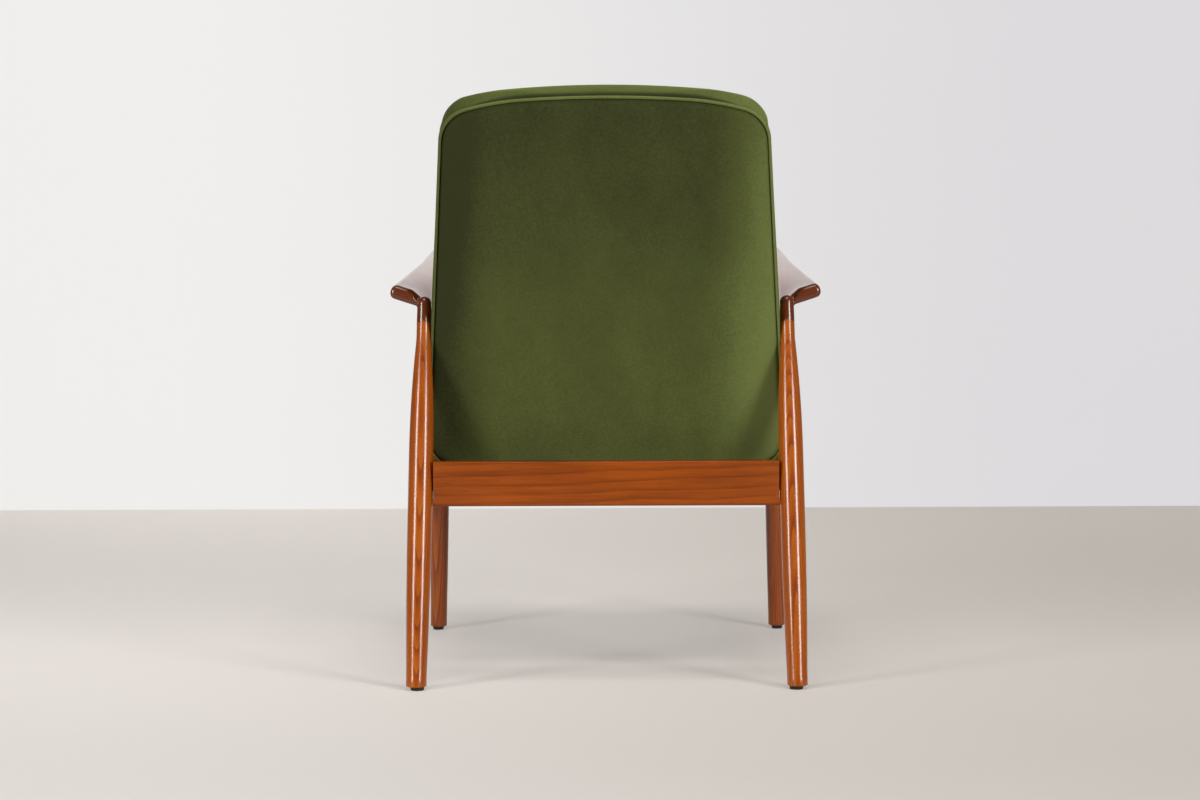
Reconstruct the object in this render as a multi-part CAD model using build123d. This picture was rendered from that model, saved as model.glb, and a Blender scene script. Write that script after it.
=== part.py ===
from build123d import *
from math import asin, atan, cos, degrees, pi, radians, sin, sqrt, tan
import os

# Occasional chair: a turned show-wood frame that carries an upholstered seat and back.
# Millimetres, +Z up. The sitter faces -Y and the sitter's left is +X.
# The origin lies on the floor under the middle of the chair.

# Overall
overall_depth = 770.0
joint_gap = 0.1
soft_gap = 0.4

# Rear legs, turned and raked back
rear_joint_half_spread = 288.0
rear_foot_splay = 10.5
rear_joint_height = 575.0
rear_leg_rake = 125.0
rear_foot_diameter = 32.5
rear_belly_diameter = 39.0
rear_belly_start = 265.0
rear_belly_end = 375.0
rear_neck_diameter = 23.0
rear_tenon_diameter = 12.0
rear_tenon_length = 22.0
foot_edge = 1.5
foot_length = 25.0
neck_length = 30.0

# Front legs, turned and upright
front_top_draw = 2.0
front_foot_splay = 10.0
front_foot_diameter = 28.5
front_belly_diameter = 33.0
front_belly_start = 300.0
front_belly_end = 400.0
front_neck_diameter = 22.0
front_tenon_diameter = 14.0
front_tenon_length = 12.0
arm_overhang = 65.0

# Glides under the legs
glide_height = 6.0
glide_flare = 1.5
rear_glide_diameter = 23.5
front_glide_diameter = 20.5
glide_nail_diameter = 3.0
glide_nail_length = 20.0

# Arms, carved: a flared tail with a round knuckle over the rear leg
# Widths run from the rear leg's joint, heights from the same joint
arm_thickness = 23.0
arm_tail_setback = 10.0
arm_outer_rear_reach = 34.0
arm_outer_front_reach = 13.0
arm_flare = 20.0
arm_flare_length = 160.0
arm_inner_rear_draw = 10.5
arm_inner_front_draw = 45.0
arm_inner_start = 100.0
arm_inner_run = 370.0
arm_tail_rise = 56.0
arm_middle_rise = 81.0
arm_front_rise = 98.0
arm_tail_cant = 18.0
arm_tail_edge = 7.0
arm_tail_notch = 22.0
arm_notch_length = 16.0
arm_nose_length = 48.0
arm_nose_edge = 10.0
arm_corner_share = 0.86
arm_corner_chords = 3
knuckle_rise = 39.0
knuckle_diameter = 22.0

# Seat rails, tenoned into the legs
rail_thickness = 24.0
rail_lower_edge = 4.5
rail_upper_edge = 2.0
rear_rail_height = 71.0
rear_rail_middle = 319.5
side_rail_height = 62.0
side_rail_inset = 5.0
side_rail_rise = 33.5
front_rail_height = 50.0
tenon_thickness = 10.0
tenon_shoulder = 11.0
tenon_stop = 6.0

# Corner blocks, cleats and screws
block_side = 62.0
block_height = 27.0
block_nose = 14.0
cleat_size = 24.0
cleat_setback = 8.0
screw_diameter = 4.0
screw_head_diameter = 8.0
screw_head_height = 2.5
screw_pocket = 30.0
fastener_sides = 10
cleat_screw_length = 40.0
seat_screw_length = 36.0
seat_screw_edge = 7.0
back_screw_length = 42.0
back_screw_grip = 26.0

# Seat unit
seat_front_setback = 6.0
seat_side_gap = 3.5
seat_back_gap = 1.5
seat_bar_thickness = 20.0
seat_bar_width = 45.0
seat_side_height = 54.0
seat_roll = 18.0
seat_crown = 14.0
seat_crown_share = 0.75
seat_bulge = 4.0
seat_front_corner = 42.0
seat_rear_corner = 24.0
cover_thickness = 2.0
frame_gap = 1.2
corner_chords = 4
webbing_thickness = 1.6
webbing_width = 50.0
seat_web_count = 5
webbing_landing = 28.0
lining_thickness = 0.8
lining_margin = 1.5

# Back unit, measured in the plane of its rear panel
back_recline = 15.5
back_leg_setback = 106.1
back_rail_rise = 11.5
back_height = 621.6
back_side_draw = 31.0
back_side_flare = 2.4
back_lower_corner = 80.0
back_crown_radius = 3000.0
back_shoulder_radius = 440.0
back_shoulder_turn = 15.7
back_top_chords = 2
back_corner_radius = 55.0
back_side_depth = 76.0
back_roll = 20.0
back_crown = 20.0
back_crown_reach = 180.0
back_taper = 2.4
back_bulge = 7.0
back_frame_depth = 28.0
back_frame_width = 46.0
back_top_rail_height = 84.0
back_bottom_rail_height = 70.0
back_web_count = 5
back_panel_edge = 3.0
back_panel_crown = 6.0
back_panel_reach = 170.0
welt_diameter = 5.2
welt_proud = 0.9
welt_sides = 10
tongue_reach = 52.0
tongue_neck = 20.0
tongue_drop = 34.0
tongue_rise = 90.0
tongue_skin = 3.0

# Places worked out from the sizes above
stand = (Align.CENTER, Align.CENTER, Align.MIN)
hang = (Align.CENTER, Align.CENTER, Align.MAX)
big = 3 * overall_depth
rear_foot_y = overall_depth / 2 - rear_foot_diameter / 2
arm_front_y = -overall_depth / 2
front_leg_y = arm_front_y + arm_overhang
arm_front_top = rear_joint_height + arm_front_rise
knuckle_top = rear_joint_height + knuckle_rise


def rear_axis(height):
    """Point on the axis of the left rear leg at a height above the floor."""
    share = height / rear_joint_height
    x = rear_joint_half_spread + rear_foot_splay * (1 - share)
    return Vector(x, rear_foot_y - rear_leg_rake * share, height)


def front_axis(height):
    """Point on the axis of the left front leg at a height above the floor."""
    share = height / arm_front_top
    top = rear_joint_half_spread - front_top_draw
    foot = rear_joint_half_spread + front_foot_splay
    return Vector(foot + (top - foot) * share, front_leg_y, height)


rear_rail_y = rear_axis(rear_rail_middle).Y
side_rail_x = rear_axis(rear_rail_middle).X - side_rail_inset
rail_inner_x = side_rail_x - rail_thickness / 2
side_rail_front_middle = rear_rail_middle + side_rail_rise
side_rail_run = rear_rail_y - front_leg_y
side_rail_fall = side_rail_rise / side_rail_run
front_rail_middle = side_rail_front_middle - (side_rail_height - front_rail_height) / 2
seat_tilt = atan(side_rail_fall)
seat_up = Vector(0, sin(seat_tilt), cos(seat_tilt))
seat_plane = Plane(
    origin=Vector(0, front_leg_y, front_rail_middle) + seat_up * (front_rail_height / 2),
    x_dir=(1, 0, 0),
    z_dir=seat_up,
)
recline = radians(back_recline)
back_bottom_z = rear_rail_middle + back_rail_rise
back_bottom_y = rear_axis(back_bottom_z).Y - back_leg_setback
back_top_half_width = rear_joint_half_spread - back_side_draw
back_plane = Plane(
    origin=(0, back_bottom_y, back_bottom_z),
    x_dir=(1, 0, 0),
    z_dir=(0, -cos(recline), sin(recline)),
)


def both_sides(left_part):
    """The left piece and its mirror image on the right."""
    return left_part, mirror(left_part, about=Plane.YZ)


def on_axis(start, end):
    """A plane at start whose normal runs toward end."""
    return Plane(origin=start, z_dir=end - start)


def turns(start, end, count):
    """Evenly spaced directions from start to end, both included."""
    return [start + (end - start) * number / count for number in range(count + 1)]


def chord_points(wide, deep, corners, chords):
    """Points of a rectangle whose low and high corners are rounded by short chords."""
    low, high = corners
    centres = [
        (wide[1] - low, deep[0] + low, low, -pi / 2),
        (wide[1] - high, deep[1] - high, high, 0.0),
        (wide[0] + high, deep[1] - high, high, pi / 2),
        (wide[0] + low, deep[0] + low, low, pi),
    ]
    points = []
    for x, y, radius, start in centres:
        for turn in turns(start, start + pi / 2, chords):
            points.append((x + radius * cos(turn), y + radius * sin(turn)))
    return points


def skinned(loops):
    """A solid of flat facets through loops of points, closed at both ends."""
    faces = [Face(Wire.make_polygon(loop)) for loop in (loops[0], loops[-1])]
    for low, high in zip(loops, loops[1:]):
        for number in range(len(low)):
            here, before = number, number - 1
            faces.append(Face(Wire.make_polygon([low[before], low[here], high[here]])))
            faces.append(Face(Wire.make_polygon([low[before], high[here], high[before]])))
    return Solid(Shell(faces))


# Turned legs
def turned_leg(start, end, foot, belly_start, belly_end, belly, neck):
    """A round leg between two points: a straight foot, belly and neck, joined by long arcs."""
    length = (end - start).length
    foot_top = (foot / 2, foot_length)
    belly_foot = (belly / 2, belly_start)
    belly_top = (belly / 2, belly_end)
    neck_foot = (neck / 2, length - neck_length)
    side = [
        Line((foot / 2, 0), foot_top),
        TangentArc(belly_foot, foot_top, tangent=(0, -1)),
        Line(belly_foot, belly_top),
        TangentArc(belly_top, neck_foot, tangent=(0, 1)),
        Line(neck_foot, (neck / 2, length)),
    ]
    outline = Polyline((neck / 2, length), (0, length), (0, 0), (foot / 2, 0))
    profile = Plane.XZ * make_face(Curve() + side + [outline])
    return on_axis(start, end) * revolve(profile, axis=Axis.Z)


def flat_foot(leg, foot, diameter):
    """The leg cut level above its glide, with an eased edge."""
    leg = leg - Pos(0, 0, glide_height) * Box(big, big, big, align=hang)
    inner = diameter / 2 - foot_edge
    ring = Cylinder(diameter, 2 * foot_edge, align=stand)
    ring = ring - Cone(inner, inner + 2 * foot_edge, 2 * foot_edge, align=stand)
    return leg - Pos(foot.X, foot.Y, glide_height) * ring


def rear_leg():
    leg = turned_leg(
        rear_axis(0),
        rear_axis(rear_joint_height),
        rear_foot_diameter,
        rear_belly_start,
        rear_belly_end,
        rear_belly_diameter,
        rear_neck_diameter,
    )
    return flat_foot(leg, rear_axis(glide_height), rear_foot_diameter)


def front_leg():
    leg = turned_leg(
        front_axis(0),
        front_axis(arm_front_top - arm_thickness / 2),
        front_foot_diameter,
        front_belly_start,
        front_belly_end,
        front_belly_diameter,
        front_neck_diameter,
    )
    return flat_foot(leg, front_axis(glide_height), front_foot_diameter)


# Carved arms
arm_tail_y = rear_axis(knuckle_top).Y + arm_tail_setback
arm_length = arm_tail_y - arm_front_y


def edge_inset(distance, reach):
    """How far a quarter-round end draws in at a distance from the tip."""
    left = max(0.0, 1 - distance / reach)
    return 1 - sqrt(1 - left * left)


def arm_section(along):
    """Points of one upright section of the left arm, at a distance from its tail."""
    share = along / arm_length
    to_front = arm_length - along
    flare_left = max(0.0, 1 - along / arm_flare_length)
    outer = arm_outer_rear_reach + (arm_outer_front_reach - arm_outer_rear_reach) * share
    outer = rear_joint_half_spread + outer + arm_flare * flare_left**2
    eased = min(1.0, max(0.0, (along - arm_inner_start) / arm_inner_run))
    eased = eased * eased * (3 - 2 * eased)
    notch_left = max(0.0, 1 - along / arm_notch_length)
    inner = arm_inner_rear_draw + (arm_inner_front_draw - arm_inner_rear_draw) * eased
    inner = rear_joint_half_spread - inner + arm_tail_notch * notch_left**2
    bend = 4 * (arm_middle_rise - (arm_tail_rise + arm_front_rise) / 2)
    rise = arm_tail_rise + (arm_front_rise - arm_tail_rise) * share + bend * share * (1 - share)
    cant = radians(arm_tail_cant) * (1 - share) ** 1.5
    tail_inset = arm_tail_edge * edge_inset(along, arm_tail_edge)
    half_width = (outer - inner) / 2 / cos(cant)
    half_height = arm_thickness / 2
    middle_x = (outer + inner) / 2
    middle_z = rear_joint_height + rise - half_height - (half_width - half_height) * sin(cant)
    half_width = half_width * (1 - edge_inset(to_front, arm_nose_length)) - tail_inset
    half_height = half_height * (1 - edge_inset(to_front, arm_nose_edge)) - tail_inset
    place = Plane(
        origin=(middle_x, arm_tail_y - along, middle_z),
        x_dir=(cos(cant), 0, sin(cant)),
        z_dir=(0, -1, 0),
    )
    corner = min(half_width, half_height) * arm_corner_share
    wide, deep = (-half_width, half_width), (-half_height, half_height)
    points = chord_points(wide, deep, (corner, corner), arm_corner_chords)
    return [place.from_local_coords(Vector(x, y, 0)) for x, y in points]


def arm_body():
    """The carved arm, skinned from tail to nose."""
    tail = [arm_tail_edge * share for share in (0.04, 0.3, 1.0)]
    nose = [arm_length - arm_nose_length * share for share in (1.0, 0.6, 0.3, 0.11, 0.02)]
    stops = (0.02, 0.05, 0.1, 0.17, 0.26, 0.38, 0.5, 0.62, 0.75, 0.88)
    run = [tail[-1] + (nose[0] - tail[-1]) * stop for stop in stops]
    return skinned([arm_section(along) for along in tail + run + nose])


def knuckle():
    """The round post at the tail of the arm, with a domed top."""
    joint = rear_axis(rear_joint_height)
    top = rear_axis(knuckle_top)
    length = (top - joint).length
    radius = knuckle_diameter / 2
    side = Line((rear_neck_diameter / 2, 0), (radius, length - radius))
    dome = RadiusArc((radius, length - radius), (0, length), -radius)
    base = Polyline((0, length), (0, 0), (rear_neck_diameter / 2, 0))
    profile = Plane.XZ * make_face(Curve() + [side, dome, base])
    return on_axis(joint, top) * revolve(profile, axis=Axis.Z)


def arm_underside():
    """Height of the arm's underside over the front leg."""
    return min(point.Z for point in arm_section(arm_length - arm_overhang))


def front_tenon(clearance):
    """The round tenon that joins the front leg to the arm."""
    start = front_axis(arm_underside() - front_tenon_diameter / 2)
    plane = on_axis(start, front_axis(arm_front_top))
    length = front_tenon_diameter / 2 + front_tenon_length + clearance
    return plane * Cylinder(front_tenon_diameter / 2 + clearance, length, align=stand)


def rear_tenon(clearance):
    """The round tenon that joins the rear leg to the knuckle."""
    joint = rear_axis(rear_joint_height)
    plane = on_axis(joint, rear_axis(knuckle_top)).offset(-rear_tenon_diameter / 2)
    length = rear_tenon_diameter / 2 + rear_tenon_length + clearance
    return plane * Cylinder(rear_tenon_diameter / 2 + clearance, length, align=stand)


# Rails
def rail_board(half_length, height):
    """A cross rail with eased long edges, centred on the origin."""
    board = Box(2 * half_length, rail_thickness, height)
    board = fillet(board.edges().filter_by(Axis.X).sort_by(Axis.Z)[:2], rail_lower_edge)
    return fillet(board.edges().filter_by(Axis.X).sort_by(Axis.Z)[-2:], rail_upper_edge)


def side_bar(thickness, height, front_stop, rear_stop):
    """A bar that follows the slope of the seat between the axes of the legs."""
    front_y = front_leg_y + front_stop
    rear_y = rear_rail_y - rear_stop
    front_z = side_rail_front_middle - side_rail_fall * front_stop
    rear_z = rear_rail_middle + side_rail_fall * rear_stop
    half = height / 2
    corners = [
        (front_y, front_z - half),
        (rear_y, rear_z - half),
        (rear_y, rear_z + half),
        (front_y, front_z + half),
    ]
    face = make_face(Polyline(*corners, close=True))
    bar = extrude(Plane.YZ * face, amount=thickness)
    return Pos(side_rail_x - thickness / 2, 0, 0) * bar


def side_tenon(clearance):
    height = side_rail_height - 2 * tenon_shoulder + 2 * clearance
    stop = tenon_stop - clearance
    return side_bar(tenon_thickness + 2 * clearance, height, stop, stop)


def side_rail(rear, front):
    bar = side_bar(rail_thickness, side_rail_height, 0, 0)
    long_edges = bar.edges().filter_by(lambda edge: edge.length > side_rail_run / 2)
    bar = fillet(long_edges, rail_upper_edge) - rear - front
    rear_blank = Box(2 * rear_axis(rear_rail_middle).X, rail_thickness, rear_rail_height)
    front_blank = Box(2 * front_axis(front_rail_middle).X, rail_thickness, front_rail_height)
    return bar - rear_rail_place * rear_blank - front_rail_place * front_blank + side_tenon(0)


def cross_tenon(half_length, height, clearance):
    """The tenons of a cross rail as one bar, centred on the origin."""
    length = half_length - tenon_stop + clearance
    return Box(
        2 * length,
        tenon_thickness + 2 * clearance,
        height - 2 * tenon_shoulder + 2 * clearance,
    )


rear_rail_place = Pos(0, rear_rail_y, rear_rail_middle)
front_rail_place = Pos(0, front_leg_y, front_rail_middle) * Rot(X=-degrees(seat_tilt))


def rear_tenon_bar(clearance):
    return rear_rail_place * cross_tenon(rear_axis(rear_rail_middle).X, rear_rail_height, clearance)


def rear_rail(legs):
    bar = rear_rail_place * rail_board(rear_axis(rear_rail_middle).X, rear_rail_height)
    return bar - legs[0] - legs[1] + rear_tenon_bar(0)


def front_tenon_bar(clearance):
    half_length = front_axis(front_rail_middle).X
    return front_rail_place * cross_tenon(half_length, front_rail_height, clearance)


def front_rail(legs):
    bar = front_rail_place * rail_board(front_axis(front_rail_middle).X, front_rail_height)
    return bar - legs[0] - legs[1] + front_tenon_bar(0)


# Screws
def screw(point, toward, length):
    """A wood screw whose head rests at point and whose shank runs the given way."""
    plane = Plane(origin=point, z_dir=toward)
    shank = extrude(RegularPolygon(screw_diameter / 2, fastener_sides), amount=length)
    head = extrude(RegularPolygon(screw_head_diameter / 2, fastener_sides), amount=-screw_head_height)
    return plane * (shank + head)


def screw_bore(point, toward, length):
    """The hole for a screw's shank and the pocket for its head."""
    plane = Plane(origin=point, z_dir=toward)
    hole = Cylinder(screw_diameter / 2 + joint_gap, length + joint_gap, align=stand)
    pocket = Cylinder(screw_head_diameter / 2 + joint_gap, screw_pocket, align=hang)
    return plane * (hole + pocket)


def cleat_screw_places():
    for share in (0.2, 0.9):
        spot = Vector(rail_inner_x - cleat_size, cleat_rear * share, -cleat_size / 2)
        yield seat_plane.from_local_coords(spot), Vector(1, 0, 0), cleat_screw_length


def seat_screw_places():
    for share in (0.35, 0.75):
        spot = Vector(rail_inner_x - cleat_size + seat_screw_edge, cleat_rear * share, -cleat_size)
        yield seat_plane.from_local_coords(spot), seat_up, seat_screw_length


def back_screw_places():
    for share in (0.35, 0.78):
        spot = Vector(rail_inner_x - back_screw_grip, -tongue_drop * share, back_frame_depth / 2)
        yield back_plane.from_local_coords(spot), Vector(1, 0, 0), back_screw_length


def screw_set(places):
    return [screw(*place) for place in places]


def bored(part, places):
    for place in places:
        part = part - screw_bore(*place)
    return part


# Corner blocks and cleats
rear_corner = Plane(
    origin=(rail_inner_x, rear_rail_y - rail_thickness / 2, rear_rail_middle - block_height / 2),
)
front_corner_spot = Vector(rail_inner_x, rail_thickness / 2, -cleat_size - joint_gap - block_height)
front_corner = Plane(
    origin=seat_plane.from_local_coords(front_corner_spot),
    x_dir=(1, 0, 0),
    z_dir=seat_up,
)


def corner_block(corner, inward, leg):
    """A triangular glue block in a corner of the rails, hollowed round the leg."""
    outline = Polyline(
        (0, 0),
        (-block_side, 0),
        (-block_side, inward * block_nose),
        (-block_nose, inward * block_side),
        (0, inward * block_side),
        close=True,
    )
    return corner * extrude(make_face(outline), amount=block_height, dir=(0, 0, 1)) - leg


def cleat():
    """A batten on the side rail that the seat unit rests on."""
    length = cleat_rear - rail_thickness
    bar = Box(cleat_size, length, cleat_size, align=(Align.MAX, Align.MIN, Align.MAX))
    return seat_plane * Pos(rail_inner_x, rail_thickness, 0) * bar


# Padded forms
def padded_rows(side, roll, bulge, crown, reach, inset):
    """Height and draw-in of each outline of a padded form, from its seam to its crown."""
    rows = []
    for share in (0.0, 0.3, 0.7):
        rows.append((side * share, inset - bulge * sin(pi * share)))
    for turn in (0, pi / 5, pi * 2 / 5):
        rows.append((side + (roll - inset) * sin(turn), roll - (roll - inset) * cos(turn)))
    for share in (0.15, 0.5, 1.0):
        rise = roll + crown * (1 - (1 - share) ** 2)
        rows.append((side + rise - inset, roll + (reach - roll) * share))
    return rows


def seat_rows(inset):
    reach = seat_crown_share * (seat_rear - seat_front) / 2
    return padded_rows(seat_side_height, seat_roll, seat_bulge, seat_crown, reach, inset)


def back_rows(inset):
    return padded_rows(back_side_depth, back_roll, back_bulge, back_crown, back_crown_reach, inset)


def back_size(inset):
    """Scale of the outline that lies the given distance inside the rear edge."""
    return 1 - inset / back_top_half_width


def back_tilt(depth):
    """Turn of the outline at a depth, which makes the back thicker toward its foot."""
    return -back_taper * depth / (back_side_depth + back_roll + back_crown)


def back_foot_front():
    """The most forward place of the back's lower edge, along the chair."""
    places = []
    for depth, inset in back_rows(0):
        turn = radians(back_tilt(depth))
        down = -back_height / 2 * back_size(inset)
        low = back_height / 2 + down * cos(turn)
        front = depth + down * sin(turn)
        places.append(back_bottom_y + low * sin(recline) - front * cos(recline))
    return min(places)


# Seat unit
seat_half_width = rail_inner_x - seat_side_gap - seat_bulge
seat_front = arm_front_y + seat_front_setback + seat_bulge - seat_plane.origin.Y
seat_rear = back_foot_front() - seat_back_gap - seat_bulge - seat_plane.origin.Y
seat_rear = seat_rear - seat_side_height * sin(seat_tilt)
cleat_rear = seat_rear - cleat_setback


def seat_points(inset, corner_share):
    """The outline of the seat, drawn in by an inset."""
    half = seat_half_width - inset
    corners = (seat_front_corner * corner_share, seat_rear_corner * corner_share)
    return chord_points((-half, half), (seat_front + inset, seat_rear - inset), corners, corner_chords)


def seat_form(rows):
    """The padded shape of the seat, drawn in at the base and crowned on top."""
    loops = []
    for height, inset in rows:
        points = seat_points(inset, 1 - inset / (seat_rear - seat_front))
        loops.append([seat_plane.from_local_coords(Vector(x, y, height)) for x, y in points])
    return skinned(loops)


def seat_cover():
    """The fabric cover of the seat, open underneath."""
    below = [(-cover_thickness, cover_thickness)]
    return seat_form(seat_rows(0)) - seat_form(below + seat_rows(cover_thickness))


def seat_pad():
    """The foam on the webbing, inside the cover."""
    below = seat_plane * Box(big, big, 2 * (seat_bar_thickness + webbing_thickness))
    return seat_form(seat_rows(cover_thickness + soft_gap)) - below


def seat_bars():
    """Front, rear, left and right bars of the seat frame, butted at the corners."""
    inset = cover_thickness + frame_gap
    front = seat_front + inset
    rear = seat_rear - inset
    half = seat_half_width - inset
    plate = make_face(Polyline(*seat_points(inset, 1), close=True))
    ring = extrude(plate, amount=seat_bar_thickness, dir=(0, 0, 1))
    inner_half = half - seat_bar_width
    inner_length = rear - front - 2 * seat_bar_width
    hole = Pos(0, (front + rear) / 2, 0) * Box(2 * inner_half, inner_length, 4 * seat_bar_thickness)
    ring = ring - hole
    to_front = (Align.CENTER, Align.MAX, Align.CENTER)
    to_rear = (Align.CENTER, Align.MIN, Align.CENTER)
    front_zone = Pos(0, front + seat_bar_width, 0) * Box(big, big, big, align=to_front)
    rear_zone = Pos(0, rear - seat_bar_width, 0) * Box(big, big, big, align=to_rear)
    left_zone = Box(big, big, big, align=(Align.MIN, Align.CENTER, Align.CENTER))
    sides = ring - front_zone - rear_zone
    left = sides & left_zone
    return (
        seat_plane * (ring & front_zone),
        seat_plane * (ring & rear_zone),
        seat_plane * left,
        seat_plane * (sides - left_zone),
    )


def seat_webbing():
    """Straps from side to side over the seat frame."""
    inset = cover_thickness + frame_gap
    half = seat_half_width - inset - seat_bar_width + webbing_landing
    first = seat_front + inset + seat_bar_width + webbing_width / 2
    last = seat_rear - inset - seat_bar_width - webbing_width / 2
    straps = []
    for y in turns(first, last, seat_web_count - 1):
        strap = Box(2 * half, webbing_width, webbing_thickness, align=stand)
        straps.append(seat_plane * Pos(0, y, seat_bar_thickness) * strap)
    return straps


def seat_lining():
    """The cloth under the seat, between the cleats."""
    half = rail_inner_x - cleat_size - lining_margin
    front = rail_thickness / 2 + lining_margin
    rear = seat_rear - cover_thickness - lining_margin
    sheet = Box(2 * half, rear - front, lining_thickness, align=(Align.CENTER, Align.MIN, Align.MAX))
    return seat_plane * Pos(0, front, 0) * sheet


# Back unit
side_turn = radians(90 - back_side_flare)
shoulder_turn = radians(back_shoulder_turn)
crown_turn = asin(
    (
        back_top_half_width
        - back_shoulder_radius * sin(shoulder_turn)
        - back_corner_radius * (sin(side_turn) - sin(shoulder_turn))
    )
    / (back_crown_radius - back_shoulder_radius)
)
back_middle = back_height / 2


def top_point(turn):
    """Point of the top edge where its direction has turned by an angle from level."""
    x, drop = 0.0, 0.0
    start = 0.0
    arcs = [
        (back_crown_radius, crown_turn),
        (back_shoulder_radius, shoulder_turn),
        (back_corner_radius, side_turn),
    ]
    for radius, end in arcs:
        stop = min(turn, end)
        if stop > start:
            x = x + radius * (sin(stop) - sin(start))
            drop = drop + radius * (cos(start) - cos(stop))
            start = stop
    return x, back_height - drop


def lower_point(turn):
    """Point of the lower corner arc, by the direction it has turned to."""
    side_x, side_y = top_point(side_turn)
    start_y = back_lower_corner * (1 + cos(side_turn))
    start_x = side_x + (side_y - start_y) * tan(radians(back_side_flare))
    middle_x = start_x - back_lower_corner * sin(side_turn)
    return middle_x + back_lower_corner * sin(turn), back_lower_corner * (1 + cos(turn))


def back_half():
    """Points of the left half of the back's outline, from the bottom centre to the top centre."""
    points = [(0.0, 0.0)]
    points += [lower_point(turn) for turn in turns(pi, side_turn, corner_chords)]
    points += [top_point(turn) for turn in turns(side_turn, shoulder_turn, corner_chords)]
    points += [top_point(turn) for turn in turns(shoulder_turn, crown_turn, back_top_chords)[1:]]
    points += [top_point(turn) for turn in turns(crown_turn, 0.0, back_top_chords)[1:]]
    return points


def back_points(inset):
    """The back's outline drawn in by an inset, from the bottom centre round the left side."""
    size = back_size(inset)
    half = back_half()
    loop = half + [(-x, y) for x, y in reversed(half[1:-1])]
    return [(x * size, back_middle + (y - back_middle) * size) for x, y in loop]


def back_loop(inset, depth, tilt):
    """The outline at a distance in front of the rear panel, tilted about its middle."""
    turn = radians(tilt)
    loop = []
    for x, y in back_points(inset):
        rise = y - back_middle
        spot = Vector(x, back_middle + rise * cos(turn), depth + rise * sin(turn))
        loop.append(back_plane.from_local_coords(spot))
    return loop


def back_form(rows):
    """The padded shape of the back, drawn in at the rear and crowned in front."""
    return skinned([back_loop(inset, depth, back_tilt(depth)) for depth, inset in rows])


def back_cover():
    """The fabric of the front and sides of the back, open at the rear."""
    behind = [(-cover_thickness, cover_thickness)]
    return back_form(back_rows(0)) - back_form(behind + back_rows(cover_thickness))


def back_pad():
    """The foam in front of the back's webbing."""
    behind = back_plane * Box(big, big, 2 * (back_frame_depth + webbing_thickness))
    return back_form(back_rows(cover_thickness + soft_gap)) - behind


def back_slab(inset, start, end):
    """A flat plate with the outline of the back."""
    return skinned([back_loop(inset, start, 0), back_loop(inset, end, 0)])


def back_box(low_x, high_x, low_y, high_y, low_z, high_z):
    """A box given by its limits in the plane of the back."""
    middle = Pos((low_x + high_x) / 2, (low_y + high_y) / 2, (low_z + high_z) / 2)
    return back_plane * middle * Box(high_x - low_x, high_y - low_y, high_z - low_z)


def back_tongue(clearance):
    """The foot of a back stile, which stands out below the cover to meet the side rail."""
    inner = rail_inner_x - tongue_reach - clearance
    neck_outer = inner + tongue_neck + 2 * clearance
    low = tongue_skin - clearance
    high = back_frame_depth - tongue_skin + clearance
    neck = back_box(inner, neck_outer, -tongue_skin, tongue_rise, low, high)
    foot = back_box(inner, rail_inner_x, -tongue_drop, -tongue_skin, low, high)
    return neck + foot


def back_frame():
    """Stiles, top rail and bottom rail of the back's wooden frame."""
    outer = cover_thickness + frame_gap
    ring = back_slab(outer, 0, back_frame_depth)
    ring = ring - back_slab(outer + back_frame_width, -back_frame_depth, 2 * back_frame_depth)
    top_start = back_height - back_top_rail_height
    top_zone = back_box(-big, big, top_start, 2 * back_height, -big, big)
    bottom_zone = back_box(-big, big, -back_height, back_bottom_rail_height, -big, big)
    left_zone = back_box(0, big, -back_height, 2 * back_height, -big, big)
    left_stile = (ring - top_zone - bottom_zone) & left_zone
    bottom_rail = ring & bottom_zone
    for tongue in both_sides(back_tongue(joint_gap)):
        bottom_rail = bottom_rail - tongue
    return left_stile + back_tongue(0), ring & top_zone, bottom_rail


def back_webbing():
    """Straps from stile to stile on the front of the back frame."""
    inset = cover_thickness + frame_gap + back_frame_width - webbing_landing
    half = top_point(side_turn)[0] - inset
    first = back_bottom_rail_height
    last = back_height - back_top_rail_height - webbing_width
    front = back_frame_depth + webbing_thickness
    straps = []
    for low in turns(first, last, back_web_count - 1):
        straps.append(back_box(-half, half, low, low + webbing_width, back_frame_depth, front))
    return straps


welt_inset = welt_diameter / 2 - welt_proud


def back_panel():
    """The upholstered rear panel inside the welt, slightly crowned."""
    edge = welt_inset + welt_diameter / 2 + soft_gap
    rows = []
    for share in (1.0, 0.5, 0.15, 0.0):
        rise = back_panel_edge + back_panel_crown * (1 - (1 - share) ** 2)
        rows.append((-rise, edge + back_panel_reach * share))
    rows.append((0.0, edge))
    return skinned([back_loop(inset, depth, 0) for depth, inset in rows])


def back_welt():
    """The corded edge round the rear panel, butted at the bottom centre."""
    points = back_points(welt_inset)
    start, end = (joint_gap, points[0][1]), (-joint_gap, points[0][1])
    level = Pos(0, 0, -welt_diameter / 2 - soft_gap / 2)
    path = back_plane * level * Polyline(start, *points[1:], end)
    ring = Plane(origin=path @ 0, z_dir=path % 0) * RegularPolygon(welt_diameter / 2, welt_sides)
    return sweep(ring, path=path, transition=Transition.RIGHT)


# Glides
def glide(foot, diameter):
    disc = Cone(diameter / 2 - glide_flare, diameter / 2, glide_height, align=stand)
    return Pos(foot.X, foot.Y, 0) * disc


def glide_nail(foot, clearance):
    bottom = glide_height / 2
    radius = glide_nail_diameter / 2 + clearance
    nail = extrude(RegularPolygon(radius, fastener_sides), amount=glide_nail_length + clearance)
    return Pos(foot.X, foot.Y, bottom) * nail


# Build the left side, then mirror it
nodes = {}


def add_pair(name, left_part):
    left, right = both_sides(left_part)
    nodes["left_" + name] = left
    nodes["right_" + name] = right


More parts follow.
